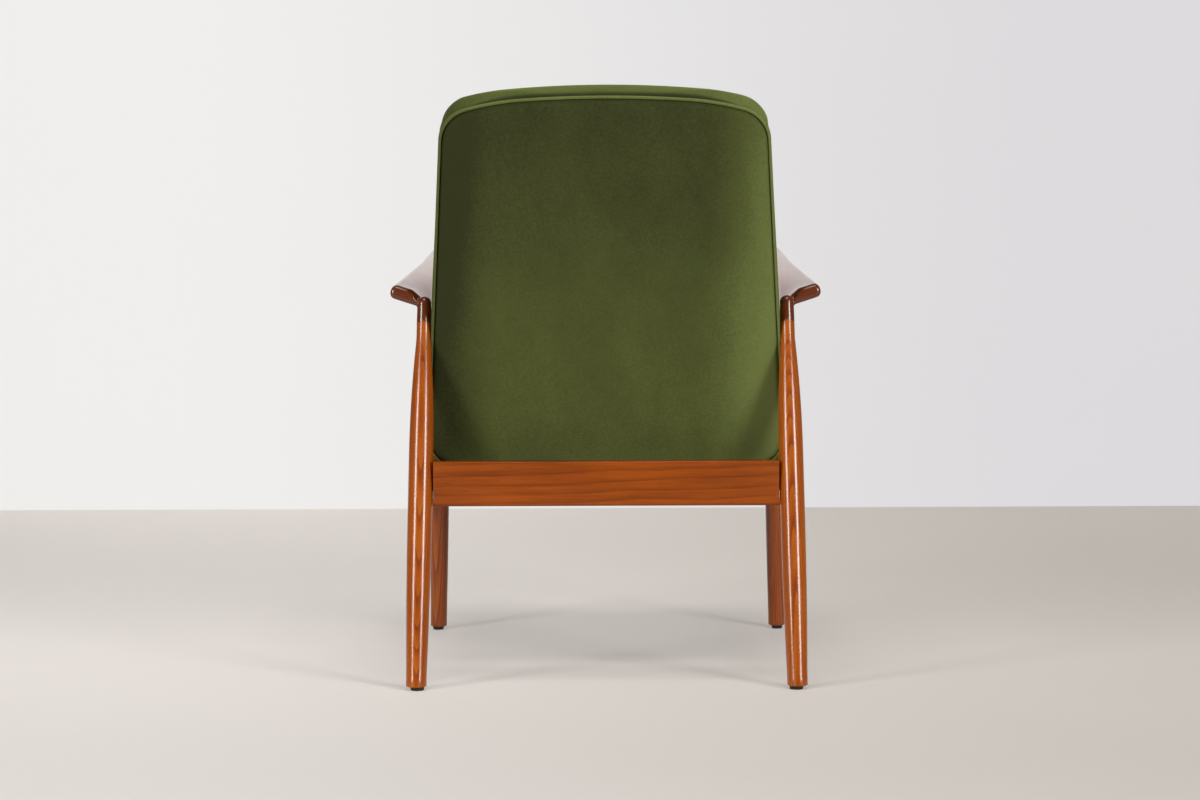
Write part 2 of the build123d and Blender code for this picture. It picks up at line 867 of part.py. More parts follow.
raw_rear_leg = rear_leg()
raw_arm = arm_body()
raw_front_leg = front_leg() - raw_arm
rear_foot = rear_axis(glide_height)
front_foot = front_axis(glide_height)
rear_nail = glide_nail(rear_foot, joint_gap)
front_nail = glide_nail(front_foot, joint_gap)

add_pair(
    "rear_leg",
    raw_rear_leg + rear_tenon(0) - side_tenon(joint_gap) - rear_tenon_bar(joint_gap) - rear_nail,
)
add_pair(
    "front_leg",
    raw_front_leg + front_tenon(0) - side_tenon(joint_gap) - front_tenon_bar(joint_gap) - front_nail,
)
add_pair("arm", raw_arm + knuckle() - rear_tenon(joint_gap) - front_tenon(joint_gap))

cleat_places = list(cleat_screw_places())
seat_places = list(seat_screw_places())
back_places = list(back_screw_places())

add_pair("rear_corner_block", corner_block(rear_corner, -1, raw_rear_leg))
add_pair("front_corner_block", corner_block(front_corner, 1, raw_front_leg))
add_pair(
    "side_rail",
    bored(side_rail(raw_rear_leg, raw_front_leg), cleat_places + back_places),
)
add_pair("seat_cleat", bored(cleat(), cleat_places + seat_places))


nodes["rear_rail"] = rear_rail(both_sides(raw_rear_leg))
nodes["front_rail"] = front_rail(both_sides(raw_front_leg))

front_bar, rear_bar, left_bar, right_bar = seat_bars()
nodes["seat_front_bar"] = front_bar
nodes["seat_rear_bar"] = rear_bar
add_pair("seat_bar", bored(left_bar, seat_places))
nodes["seat_webbing"] = Compound(children=seat_webbing())
nodes["seat_pad"] = seat_pad()
nodes["seat_cover"] = seat_cover()
nodes["seat_lining"] = seat_lining()

left_stile, back_top_rail, back_bottom_rail = back_frame()
add_pair("back_stile", bored(left_stile, back_places))
nodes["back_top_rail"] = back_top_rail
nodes["back_bottom_rail"] = back_bottom_rail
nodes["back_webbing"] = Compound(children=back_webbing())
nodes["back_pad"] = back_pad()
cover = back_cover()
for tongue in both_sides(back_tongue(soft_gap)):
    cover = cover - tongue
nodes["back_cover"] = cover
nodes["back_panel"] = back_panel()
nodes["back_welt"] = back_welt()

def group(left_parts):
    """Every left fastener and its mirror image, as separate solids."""
    solids = []
    for part in left_parts:
        solids.extend(both_sides(part))
    return Compound(children=solids)


nodes["rear_glides"] = group([glide(rear_foot, rear_glide_diameter) - rear_nail])
nodes["front_glides"] = group([glide(front_foot, front_glide_diameter) - front_nail])
nodes["glide_nails"] = group([glide_nail(rear_foot, 0), glide_nail(front_foot, 0)])
nodes["cleat_screws"] = group(screw_set(cleat_places))
nodes["seat_screws"] = group(screw_set(seat_places))
nodes["back_screws"] = group(screw_set(back_places))

os.makedirs("parts", exist_ok=True)
for name, part in nodes.items():
    export_step(part, os.path.join("parts", name + ".step"))
    print(name, len(part.solids()), round(part.volume))
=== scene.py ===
from math import asin, atan, copysign, cos, pi, radians, sin, sqrt, tan
import bmesh
import bpy
from mathutils import Matrix, Vector


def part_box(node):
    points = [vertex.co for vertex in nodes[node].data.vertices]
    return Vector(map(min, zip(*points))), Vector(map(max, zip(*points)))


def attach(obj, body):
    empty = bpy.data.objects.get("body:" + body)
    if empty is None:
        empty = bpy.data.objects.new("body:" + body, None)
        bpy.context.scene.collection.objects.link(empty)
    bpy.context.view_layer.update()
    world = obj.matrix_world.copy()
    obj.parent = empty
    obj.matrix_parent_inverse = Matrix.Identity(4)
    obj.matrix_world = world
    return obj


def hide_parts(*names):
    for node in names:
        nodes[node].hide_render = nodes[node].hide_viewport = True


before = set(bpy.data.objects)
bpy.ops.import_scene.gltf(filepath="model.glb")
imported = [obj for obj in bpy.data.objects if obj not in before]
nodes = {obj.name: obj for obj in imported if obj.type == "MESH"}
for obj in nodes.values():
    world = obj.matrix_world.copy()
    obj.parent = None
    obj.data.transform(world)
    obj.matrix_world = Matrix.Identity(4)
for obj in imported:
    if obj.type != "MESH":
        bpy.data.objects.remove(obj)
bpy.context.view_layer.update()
scene = bpy.context.scene
mm = 0.001  # sizes below are millimetres
print("frame loaded:", len(nodes), "nodes")


def tint(red, green, blue):  # a colour as seen on screen, 0 to 255
    steps = [value / 255 for value in (red, green, blue)]
    return tuple(v / 12.92 if v < 0.04045 else ((v + 0.055) / 1.055) ** 2.4 for v in steps) + (1.0,)


def grey(value):
    return (value, value, value, 1.0)


class Term:  # a socket that can stand in a sum
    def __init__(self, paint, socket):
        self.paint, self.socket = paint, socket

    def calc(self, operation, first, second):
        return self.paint.put("ShaderNodeMath", {"operation": operation}, {0: first, 1: second})

    def __add__(self, other):
        return self.calc("ADD", self, other)

    def __radd__(self, other):
        return self.calc("ADD", other, self)

    def __sub__(self, other):
        return self.calc("SUBTRACT", self, other)

    def __rsub__(self, other):
        return self.calc("SUBTRACT", other, self)

    def __mul__(self, other):
        return self.calc("MULTIPLY", self, other)

    def __rmul__(self, other):
        return self.calc("MULTIPLY", other, self)

    def __truediv__(self, other):
        return self.calc("DIVIDE", self, other)

    def __pow__(self, other):
        return self.calc("POWER", self, other)


class Paint:  # one material and its nodes
    def __init__(self, name, **fixed):
        self.material = bpy.data.materials.new(name)
        self.material.use_nodes = True
        self.tree = self.material.node_tree
        self.shader = self.tree.nodes["Principled BSDF"]
        for socket, value in fixed.items():
            self.feed(self.shader.inputs[socket.replace("_", " ")], value)

    def feed(self, socket, value):
        if isinstance(value, Term):
            self.tree.links.new(value.socket, socket)
        else:
            socket.default_value = value

    def put(self, kind, settings=None, sockets=None, out=0):
        node = self.tree.nodes.new(kind)
        for key, value in (settings or {}).items():
            if key == "stops":  # a ramp's places and colours
                ramp = node.color_ramp
                while len(ramp.elements) < len(value):
                    ramp.elements.new(0.5)
                for element, (place, colour) in zip(ramp.elements, value):
                    element.position, element.color = place, colour
            else:
                setattr(node, key, value)
        for key, value in (sockets or {}).items():
            self.feed(node.inputs[key], value)
        return Term(self, node.outputs[out])

    def place(self, turn=(0, 0, 0), scale=(1, 1, 1)):  # turned first, then stretched
        spot = self.put("ShaderNodeTexCoord", out="Object")
        spun = self.put("ShaderNodeMapping", {}, {"Vector": spot, "Rotation": turn})
        return self.put("ShaderNodeVectorMath", {"operation": "MULTIPLY"}, {0: spun, 1: scale})

    def split(self, spot):
        node = self.tree.nodes.new("ShaderNodeSeparateXYZ")
        self.feed(node.inputs[0], spot)
        return [Term(self, socket) for socket in node.outputs]

    def clamp(self, value, low, high):  # 0 at low, 1 at high
        sockets = {"Value": value, "From Min": low, "From Max": high}
        return self.put("ShaderNodeMapRange", {"interpolation_type": "SMOOTHSTEP"}, sockets)

    def noise(self, spot, scale, detail=3.0, rough=0.5):
        sockets = {"Vector": spot, "Scale": scale, "Detail": detail, "Roughness": rough}
        return self.put("ShaderNodeTexNoise", {}, sockets)

    def ramp(self, value, *stops):
        return self.put("ShaderNodeValToRGB", {"stops": stops}, {"Fac": value})

    def mix(self, share, first, second):  # sockets 6, 7 and output 2 are the colours'
        return self.put("ShaderNodeMix", {"data_type": "RGBA"}, {0: share, 6: first, 7: second}, 2)

    def finish(self, colour=None, rough=None, height=None, strength=0.3, distance=0.0005):
        if colour is not None:
            self.feed(self.shader.inputs["Base Color"], colour)
        if rough is not None:
            self.feed(self.shader.inputs["Roughness"], rough)
        if height is not None:
            sockets = {"Strength": strength, "Distance": distance, "Height": height}
            self.feed(self.shader.inputs["Normal"], self.put("ShaderNodeBump", {}, sockets))
        return self.material


lacquer = {
    "pale": tint(178, 98, 24), "mid": tint(146, 68, 9), "deep": tint(88, 35, 4), "end": tint(64, 18, 2),
    "fibre": 300.0, "pores": 1100.0, "clouds": 26.0, "drift": 12.0, "shake": 90.0,  # noise scales
    "driftShare": 2.6, "shakeShare": 0.5,  # how far a ring wanders, in ring gaps
    "streakShare": 0.34, "cloudShare": 0.5, "poreShare": 0.3, "toneShift": -0.02,
    "rough": 0.4, "armRough": 0.22, "roughSpread": 0.12, "coatRough": 0.2, "coatIor": 1.45, "armGloss": 0.5,
    "armTail": 0.2453, "endFrom": 0.016, "endTo": 0.010, "endShare": 0.8, "endDull": 0.7,  # end grain
}


def lacqueredWood(name, turn, pith, ringGap, slope, darker=0.0, figure=0.4, coat=1.0, tail=None):
    rough, gloss = (lacquer["rough"], 0.0) if tail is None else (lacquer["armRough"], lacquer["armGloss"])
    p = Paint(name, Coat_Weight=coat, Coat_Roughness=lacquer["coatRough"], Coat_IOR=lacquer["coatIor"],
              Specular_IOR_Level=gloss)
    across, depth, along = p.split(p.place(turn))  # the grain runs along the turned Z
    drift = p.noise(p.place(turn, (1.0, 1.0, 0.2)), lacquer["drift"], 2.0)
    shake = p.noise(p.place(turn, (1.0, 1.0, 0.08)), lacquer["shake"], 3.0)
    waver = (drift - 0.5) * (ringGap * lacquer["driftShare"])
    waver = waver + (shake - 0.5) * (ringGap * lacquer["shakeShare"])
    fromPith = ((across - pith[0]) ** 2 + (depth - pith[1]) ** 2) ** 0.5 + along * slope + waver
    ring = p.put("ShaderNodeMath", {"operation": "FRACT"}, {0: fromPith / ringGap})
    late = p.ramp(ring, (0.0, grey(0.2)), (0.55, grey(0.4)), (0.9, grey(1.0)), (1.0, grey(0.2)))
    streak = p.noise(p.place(turn, (1.0, 1.0, 0.03)), lacquer["fibre"], 4.0, 0.6)
    cloud = p.noise(p.place(turn, (1.0, 1.0, 0.16)), lacquer["clouds"], 3.0, 0.55)
    tone = late * figure + streak * lacquer["streakShare"] + cloud * lacquer["cloudShare"]
    tone = tone + (lacquer["toneShift"] - figure * 0.4 + darker)  # the mean stays, whatever the figure
    colour = p.ramp(tone, (0.16, lacquer["pale"]), (0.46, lacquer["mid"]), (0.86, lacquer["deep"]))
    pores = p.noise(p.place(turn, (1.0, 1.0, 0.04)), lacquer["pores"], 2.0, 0.5)
    pore = p.ramp(pores, (0.3, grey(1.0)), (0.4, grey(0.0)))
    colour = p.mix(pore * lacquer["poreShare"], colour, lacquer["deep"])
    if tail is not None:  # end grain drinks more stain and shines less
        cut = p.clamp(along, tail - lacquer["endFrom"], tail - lacquer["endTo"])
        colour = p.mix(cut * lacquer["endShare"], colour, lacquer["end"])
        p.feed(p.shader.inputs["Coat Weight"], coat - cut * lacquer["endDull"])
    roughness = streak * lacquer["roughSpread"] + (rough - lacquer["roughSpread"] / 2)
    return p.finish(colour, roughness, streak - pore * 0.5, 0.06, 0.0003)


rawWood = (tint(196, 160, 112), tint(160, 118, 74))
# painted shade: the hidden back frame, cleats and corner blocks are made dark so that where they show in
# the cover's crease and in the lower corners they read as shade
shadeDarkWood = (tint(84, 44, 20), tint(50, 24, 10))


def innerWood(name, turn, pale, dark):  # unpolished wood of the hidden frame
    p = Paint(name, Specular_IOR_Level=0.3)
    streak = p.noise(p.place(turn, (1.0, 1.0, 0.03)), 180.0, 4.0, 0.6)
    cloud = p.noise(p.place(turn, (1.0, 1.0, 0.3)), 20.0, 2.0)
    colour = p.ramp(streak * 0.6 + cloud * 0.4, (0.25, pale), (0.75, dark))
    return p.finish(colour, streak * 0.2 + 0.6, streak, 0.2, 0.0004)


velvet = {
    "deep": tint(44, 47, 22), "mid": tint(70, 76, 37), "light": tint(97, 106, 57),
    "shade": tint(17, 18, 8), "sheenRough": 0.35, "sheenTint": tint(176, 200, 96), "pile": 1500.0,
    # painted light and shade: how much darker toward +X, lighter toward -X and darker toward the top
    "leftShadeShare": 0.54, "rightLightShare": 0.64, "topShade": 0.44, "topShadeStart": 0.40, "topShadeEnd": 0.95, "topShadeLift": 0.05,
    "leftShadeSpan": (0.17, 0.28), "rightLightSpan": (-0.15, -0.28),  # where the painted shade and painted light change across the cloth, in metres
    # painted shade in the crease behind the welt: the depths where it starts and ends, and its share
    "crease": (0.015, 0.003), "creaseShadeShare": 0.8,
}


def pileCloth(name, lift=0.0, sideLight=0.0, topShade=0.0, sheen=0.14, seam=None):  # short pile, with painted light and shade: darker toward +X, lighter toward -X and darker toward the top
    p = Paint(name, Sheen_Weight=sheen, Sheen_Roughness=velvet["sheenRough"],
              Sheen_Tint=velvet["sheenTint"], Specular_IOR_Level=0.1)
    spot = p.place()
    x, y, z = p.split(spot)
    pile = p.noise(spot, velvet["pile"], 2.0, 0.6)
    brushed = p.noise(p.place((0, 0, 0), (1.0, 1.0, 0.5)), 11.0, 4.0, 0.6)
    fleck = p.noise(spot, 240.0, 3.0, 0.7)
    tone = pile * 0.3 + brushed * 0.4 + fleck * 0.5 - 0.1 + lift
    # painted light and shade across the cloth: darker toward +X, lighter toward -X
    if sideLight:
        tone = tone - p.clamp(x, *velvet["leftShadeSpan"]) * (velvet["leftShadeShare"] * sideLight)
        tone = tone + p.clamp(x, *velvet["rightLightSpan"]) * (velvet["rightLightShare"] * sideLight)
    # painted shade: lifted a little overall and darker toward the top
    if topShade:
        tone = tone + velvet["topShadeLift"] - p.clamp(z, velvet["topShadeStart"], velvet["topShadeEnd"]) * topShade
    colour = p.ramp(tone, (0.0, velvet["deep"]), (0.5, velvet["mid"]), (1.0, velvet["light"]))
    if seam:  # painted shade in the crease where the cover turns in behind the welt
        depth = (z - seam[1]) * sin(seam[2]) - (y - seam[0]) * cos(seam[2])
        colour = p.mix(p.clamp(depth, *velvet["crease"]) * velvet["creaseShadeShare"], colour, velvet["shade"])
    return p.finish(colour, 0.92 - fleck * 0.1, pile * 0.6 + fleck * 0.4, 0.35, 0.0006)


def plainCloth(name, dark, light, gap):  # an even, thin woven cloth
    p = Paint(name, Specular_IOR_Level=0.2)
    sockets = {"Vector": p.place(), "Scale": 0.5 / gap}
    warp, weft = (p.put("ShaderNodeTexWave", {"bands_direction": way}, sockets) for way in "XY")
    fuzz = p.noise(p.place(), 700.0, 2.0)
    weave = p.put("ShaderNodeMath", {"operation": "MAXIMUM"}, {0: warp, 1: weft})
    colour = p.mix(weave * 0.6 + fuzz * 0.4, dark, light)
    return p.finish(colour, 0.85 + fuzz * 0.1, weave, 0.4, 0.0003)


def blackPlastic(name):
    p = Paint(name, Specular_IOR_Level=0.4)
    grain = p.noise(p.place(), 900.0, 3.0)
    wear = p.noise(p.place(), 90.0, 3.0)
    colour = p.ramp(wear, (0.3, tint(16, 16, 17)), (0.8, tint(34, 33, 33)))
    return p.finish(colour, 0.42 + grain * 0.2, grain, 0.15, 0.0002)


def zincSteel(name):
    p = Paint(name, Metallic=1.0)
    patch = p.noise(p.place(), 400.0, 3.0)
    colour = p.ramp(patch, (0.3, tint(168, 166, 160)), (0.7, tint(202, 199, 190)))
    return p.finish(colour, 0.3 + patch * 0.2, patch, 0.1, 0.0002)


grainX, grainY, grainZ = (0, -pi / 2, 0), (pi / 2, 0, 0), (0, 0, 0)  # the grain's turn for each axis
grainLeg = (-atan(125.0 / 575.0), 0, 0)  # along the raked rear legs
paints = {
    "leftLeg": lacqueredWood("lacqueredLeftLeg", grainLeg, (0.300, 0.05), 0.0021, 0.03),
    "rightLeg": lacqueredWood("lacqueredRightLeg", grainLeg, (-0.286, 0.06), 0.0024, -0.034),
    "frontLeg": lacqueredWood("lacqueredFrontLeg", grainZ, (0.2, -0.6), 0.003, 0.03, 0.06),
    "arm": lacqueredWood("lacqueredArm", grainY, (0.02, -0.50), 0.004, 0.02, tail=lacquer["armTail"]),
    "crossRail": lacqueredWood("lacqueredCrossRail", grainX, (-0.47, 0.2), 0.011, -0.03, 0.19, 0.2, 0.5),
    "sideRail": lacqueredWood("lacqueredSideRail", grainY, (0.1, -0.2), 0.008, 0.012, 0.05),
    "innerX": innerWood("innerWoodAcross", grainX, *rawWood),
    "innerY": innerWood("innerWoodAlong", grainY, *rawWood),
    "shadeDarkX": innerWood("shadeDarkWoodAcross", grainX, *shadeDarkWood),
    "shadeDarkY": innerWood("shadeDarkWoodAlong", grainY, *shadeDarkWood),
    "shadeDarkZ": innerWood("shadeDarkWoodUpright", grainZ, *shadeDarkWood),
    "velvet": pileCloth("greenVelvet"),
    # the rear panel carries the painted light and shade across it and toward its top
    "panel": pileCloth("greenVelvetPanel", -0.02, 1.0, velvet["topShade"]),
    # the welt is lighter than the panel: a painted highlight on the rounded cord, with a little painted
    # side light
    "welt": pileCloth("greenVelvetWelt", 0.3, 0.4),
    "lining": plainCloth("blackLining", tint(20, 20, 21), tint(44, 44, 46), 0.0012),
    "glide": blackPlastic("blackGlide"),
    "steel": zincSteel("zincSteel"),
}
print("materials:", len(paints))

nodePaints = {
    "innerX": ["seat_front_bar", "seat_rear_bar"],
    "innerY": ["left_seat_bar", "right_seat_bar"],
    # painted shade on the hidden frame parts
    "shadeDarkX": ["back_top_rail", "back_bottom_rail"],
    "shadeDarkY": ["left_seat_cleat", "right_seat_cleat"]
    + [side + end + "_corner_block" for side in ("left_", "right_") for end in ("front", "rear")],
    "shadeDarkZ": ["left_back_stile", "right_back_stile"],
    "crossRail": ["front_rail"],
    "sideRail": ["left_side_rail", "right_side_rail"],
    "glide": ["rear_glides", "front_glides"],
    "steel": ["glide_nails", "cleat_screws", "seat_screws", "back_screws"],
}
for paintName, members in nodePaints.items():
    for member in members:
        nodes[member].data.materials.clear()
        nodes[member].data.materials.append(paints[paintName])


def piece(bm, name, paint, slot, *replaced, sharp=40.0):
    bmesh.ops.recalc_face_normals(bm, faces=bm.faces)
    bmesh.ops.scale(bm, vec=(mm, mm, mm), verts=bm.verts)
    mesh = bpy.data.meshes.new(name)
    bm.to_mesh(mesh)
    bm.free()
    mesh.materials.append(paints[paint])
    mesh.shade_smooth()
    mesh.set_sharp_from_angle(angle=radians(sharp))
    made = bpy.data.objects.new(name, mesh)
    scene.collection.objects.link(made)
    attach(made, "root")
    if replaced:
        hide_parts(*replaced)
    return made


def smoothed(made):
    sub = made.modifiers.new("smooth", "SUBSURF")
    sub.levels = sub.render_levels = 1


def settle(made):  # the modifiers' result becomes the mesh
    mesh = bpy.data.meshes.new_from_object(made.evaluated_get(bpy.context.evaluated_depsgraph_get()))
    made.modifiers.clear()
    made.data = mesh
    return mesh


def rewoven(made, voxel):  # one even skin over everything in the piece
    remesh = made.modifiers.new("weave", "REMESH")
    remesh.mode, remesh.voxel_size = "VOXEL", voxel * mm
    settle(made)


def eased(made, rounds, held=lambda spot: False):  # rub the surface smooth
    bm = bmesh.new()
    bm.from_mesh(made.data)
    for number in range(rounds):
        free = [vert for vert in bm.verts if not held(vert.co)]
        bmesh.ops.smooth_vert(bm, verts=free, factor=0.5, use_axis_x=True, use_axis_y=True,
                              use_axis_z=True)
    bm.to_mesh(made.data)
    bm.free()
    made.data.shade_smooth()


def flipSide(bm):  # the left piece becomes the right one
    bmesh.ops.scale(bm, vec=(-1, 1, 1), verts=bm.verts)
    bmesh.ops.recalc_face_normals(bm, faces=bm.faces)


def rounded(bm, edges, offset, segments):
    bmesh.ops.bevel(bm, geom=edges, offset=offset, offset_type="OFFSET", affect="EDGES", segments=segments,
                    profile=0.5, material=-1)


def smoothStep(share):  # 0 to 1 with soft ends
    share = min(1.0, max(0.0, share))
    return share * share * (3 - 2 * share)


def alongAxis(bm, verts, start, end):  # stand a turned shape on the line from start to end
    turn = Vector((0, 0, 1)).rotation_difference(end - start).to_matrix().to_4x4()
    bmesh.ops.transform(bm, matrix=Matrix.Translation(start) @ turn, verts=verts)


def turned(bm, profile, steps=56):  # profile: (radius, height) from the foot up
    verts = [bm.verts.new((radius, 0, height)) for radius, height in profile]
    edges = [bm.edges.new(pair) for pair in zip(verts, verts[1:])]
    bmesh.ops.spin(bm, geom=verts + edges, cent=(0, 0, 0), axis=(0, 0, 1), angle=2 * pi, steps=steps,
                   use_merge=True)
    bmesh.ops.remove_doubles(bm, verts=bm.verts, dist=0.01)


legs = {
    "jointHeight": 575.0, "halfSpread": 289.8, "rearSplay": 10.5, "rearRake": 125.0, "rearFootY": 368.75,
    "frontY": -320.0, "frontDraw": 2.0, "frontSplay": 7.5, "frontTop": 673.0, "armThickness": 23.0,
    "footLength": 25.0, "neckLength": 30.0, "glide": 6.0, "footEdge": 1.6, "rows": 40,
    "rear": {"foot": 32.5, "belly": 39.0, "neck": 23.0, "bellyStart": 265.0, "bellyEnd": 375.0},
    "front": {"foot": 28.5, "belly": 33.0, "neck": 22.0, "bellyStart": 300.0, "bellyEnd": 400.0},
}


def rearAxis(height):
    share = height / legs["jointHeight"]
    x = legs["halfSpread"] + legs["rearSplay"] * (1 - share)
    return Vector((x, legs["rearFootY"] - legs["rearRake"] * share, height))


def frontAxis(height):
    share = height / legs["frontTop"]
    x = legs["halfSpread"] + legs["frontSplay"] - (legs["frontSplay"] + legs["frontDraw"]) * share
    return Vector((x, legs["frontY"], height))


def legProfile(form, length):
    def swell(height):
        belly = form["belly"] / 2
        if height < form["bellyStart"]:
            run = form["bellyStart"] - legs["footLength"]
            share = min(1.0, (form["bellyStart"] - height) / run)
            return belly - (form["belly"] - form["foot"]) / 2 * share**2
        run = length - legs["neckLength"] - form["bellyEnd"]
        share = min(1.0, max(0.0, (height - form["bellyEnd"]) / run))
        return belly - (form["belly"] - form["neck"]) / 2 * share**2

    heights = [length * number / legs["rows"] for number in range(legs["rows"] + 1)]
    return [(0, 0)] + [(swell(height), height) for height in heights] + [(0, length)]


def turnedLeg(form, start, end, mirrored):
    bm = bmesh.new()
    turned(bm, legProfile(form, (end - start).length))
    alongAxis(bm, bm.verts, start, end)
    level = (0, 0, legs["glide"])
    cut = bmesh.ops.bisect_plane(bm, geom=bm.verts[:] + bm.edges[:] + bm.faces[:], plane_co=level,
                                 plane_no=(0, 0, 1), clear_inner=True)
    rim = [item for item in cut["geom_cut"] if isinstance(item, bmesh.types.BMEdge)]
    bmesh.ops.holes_fill(bm, edges=rim, sides=0)
    rounded(bm, rim, legs["footEdge"], 3)
    if mirrored:
        flipSide(bm)
    return bm


frontEnd = legs["frontTop"] - legs["armThickness"] / 2
for side, mirrored in (("left", False), ("right", True)):
    bm = turnedLeg(legs["rear"], rearAxis(0), rearAxis(legs["jointHeight"]), mirrored)
    piece(bm, side + "RearLeg", side + "Leg", "stained_wood", side + "_rear_leg")
    bm = turnedLeg(legs["front"], frontAxis(0), frontAxis(frontEnd), mirrored)
    piece(bm, side + "FrontLeg", "frontLeg", "stained_wood", side + "_front_leg")
print("legs turned")

rail = {
    "middle": 319.5, "height": 71.0, "thick": 24.0, "half": 274.0, "lower": 4.5, "upper": 2.0, "end": 0.8,
}


def rearRail():
    bm = bmesh.new()
    bmesh.ops.create_cube(bm, size=1.0)
    bmesh.ops.scale(bm, vec=(2 * rail["half"], rail["thick"], rail["height"]), verts=bm.verts)
    for offset, sign in ((rail["lower"], -1), (rail["upper"], 1)):
        ridges = [edge for edge in bm.edges if edge.calc_length() > rail["half"]
                  and all(sign * vert.co.z > offset for vert in edge.verts)]
        rounded(bm, ridges, offset, 6)
    ends = [e for e in bm.edges if all(abs(abs(v.co.x) - rail["half"]) < 0.01 for v in e.verts)]
    rounded(bm, ends, rail["end"], 2)
    bmesh.ops.translate(bm, vec=(0, rearAxis(rail["middle"]).y, rail["middle"]), verts=bm.verts)
    return bm


piece(rearRail(), "rearRail", "crossRail", "stained_wood", "rear_rail", sharp=30)
print("rear rail shaped")

arm = {
    "frontY": -385.0, "tailSetback": 10.0, "outerRear": 34.0, "outerFront": 13.0, "flare": 20.0,
    "flareLength": 340.0, "flarePower": 1.3, "innerRear": 10.5, "innerFront": 45.0, "innerStart": 100.0,
    "innerRun": 370.0, "tailRise": 56.0, "middleRise": 81.0, "frontRise": 98.0, "cant": 18.0,
    "cantPower": 1.5, "tailEdge": 7.0, "notch": 22.0, "notchLength": 16.0, "noseLength": 48.0,
    "noseEdge": 10.0, "corner": 0.86, "knuckleRise": 39.0, "knuckle": 22.6, "knuckleLip": 0.2,
    "into": 6.0, "voxel": 1.4, "rubs": 5,
    "hollow": 16.0, "hollowFrom": 20.0, "hollowTo": 8.0, "hollowSpread": 0.3, "hollowRun": 190.0,
    "sides": 28, "rings": 50, "ringPower": 1.25, "tailStops": (0.02, 0.15, 0.45, 1.0),
    "noseStops": (1.0, 0.8, 0.62, 0.46, 0.32, 0.2, 0.11, 0.05, 0.02, 0.004),
}
armTailY = rearAxis(legs["jointHeight"] + arm["knuckleRise"]).y + arm["tailSetback"]
armLength = armTailY - arm["frontY"]


def roundedIn(distance, reach):  # how far a quarter-round end draws in
    left = max(0.0, 1 - distance / reach)
    return 1 - sqrt(1 - left * left)


def outward(value, flat, corner):  # from the unit circle to a rounded oblong
    return 0.0 if abs(value) < 0.01 else value * corner + copysign(flat, value)


def armRing(bm, along):
    share = along / armLength
    toFront = armLength - along
    flareLeft = max(0.0, 1 - along / arm["flareLength"])
    outer = arm["outerRear"] + (arm["outerFront"] - arm["outerRear"]) * share
    outer = legs["halfSpread"] + outer + arm["flare"] * flareLeft ** arm["flarePower"]
    widening = smoothStep((along - arm["innerStart"]) / arm["innerRun"])
    inner = arm["innerRear"] + (arm["innerFront"] - arm["innerRear"]) * widening
    inner = legs["halfSpread"] - inner + arm["notch"] * max(0.0, 1 - along / arm["notchLength"]) ** 2
    bend = 4 * (arm["middleRise"] - (arm["tailRise"] + arm["frontRise"]) / 2)
    rise = arm["tailRise"] + (arm["frontRise"] - arm["tailRise"]) * share + bend * share * (1 - share)
    cant = radians(arm["cant"]) * (1 - share) ** arm["cantPower"]
    tailInset = arm["tailEdge"] * roundedIn(along, arm["tailEdge"])
    halfWidth = (outer - inner) / 2 / cos(cant)
    halfHeight = legs["armThickness"] / 2
    middleX = (outer + inner) / 2
    middleZ = legs["jointHeight"] + rise - halfHeight - (halfWidth - halfHeight) * sin(cant)
    halfWidth = halfWidth * (1 - roundedIn(toFront, arm["noseLength"])) - tailInset
    halfHeight = halfHeight * (1 - roundedIn(toFront, arm["noseEdge"])) - tailInset
    corner = min(halfWidth, halfHeight) * arm["corner"]
    ring = bmesh.ops.create_circle(bm, segments=arm["sides"], radius=1.0)["verts"]
    for vert in ring:
        vert.co = (outward(vert.co.x, halfWidth - corner, corner),
                   outward(vert.co.y, halfHeight - corner, corner), 0)
    turn = Matrix(((cos(cant), -sin(cant), 0), (0, 0, -1), (sin(cant), cos(cant), 0))).to_4x4()
    spot = Matrix.Translation((middleX, armTailY - along, middleZ))
    bmesh.ops.transform(bm, matrix=spot @ turn, verts=ring)
    post = rearAxis(legs["jointHeight"] + arm["knuckleRise"])
    ahead = max(0.0, post.y - (armTailY - along))
    fade = max(0.0, 1 - ahead / arm["hollowRun"]) ** 2
    start = arm["hollowFrom"] + ahead * arm["hollowSpread"]
    stop = arm["hollowTo"] - ahead * arm["hollowSpread"]
    for vert in ring:  # the top falls away toward the knuckle
        step = smoothStep((start - vert.co.x + post.x) / (start - stop))
        under = middleZ + (vert.co.x - middleX) * tan(cant) - halfHeight / cos(cant)
        above = min(1.0, max(0.0, (vert.co.z - under) / (2 * halfHeight)))
        vert.co.z -= arm["hollow"] * fade * step * above
    return ring


def ringEdges(ring):
    held = set(ring)
    return [edge for edge in {e for v in ring for e in v.link_edges} if set(edge.verts) <= held]


def carvedArm():
    bm = bmesh.new()
    stops = [arm["tailEdge"] * share for share in arm["tailStops"]]
    run = armLength - arm["noseLength"] - arm["tailEdge"]
    shares = [(number / arm["rings"]) ** arm["ringPower"] for number in range(1, arm["rings"])]
    stops += [arm["tailEdge"] + run * share for share in shares]
    stops += [armLength - arm["noseLength"] * share for share in arm["noseStops"]]
    rings = [armRing(bm, along) for along in stops]
    for first, second in zip(rings, rings[1:]):
        bmesh.ops.bridge_loops(bm, edges=ringEdges(first) + ringEdges(second))
    for ring in (rings[0], rings[-1]):
        bmesh.ops.contextual_create(bm, geom=ringEdges(ring))
    return bm


def knuckleProfile(length):
    radius, base = arm["knuckle"] / 2, legs["rear"]["neck"] / 2 + arm["knuckleLip"]
    dome = [(radius * cos(t * pi / 20), length - radius + radius * sin(t * pi / 20)) for t in range(10)]
    return [(0, 0), (base, 0)] + dome + [(0, length)]


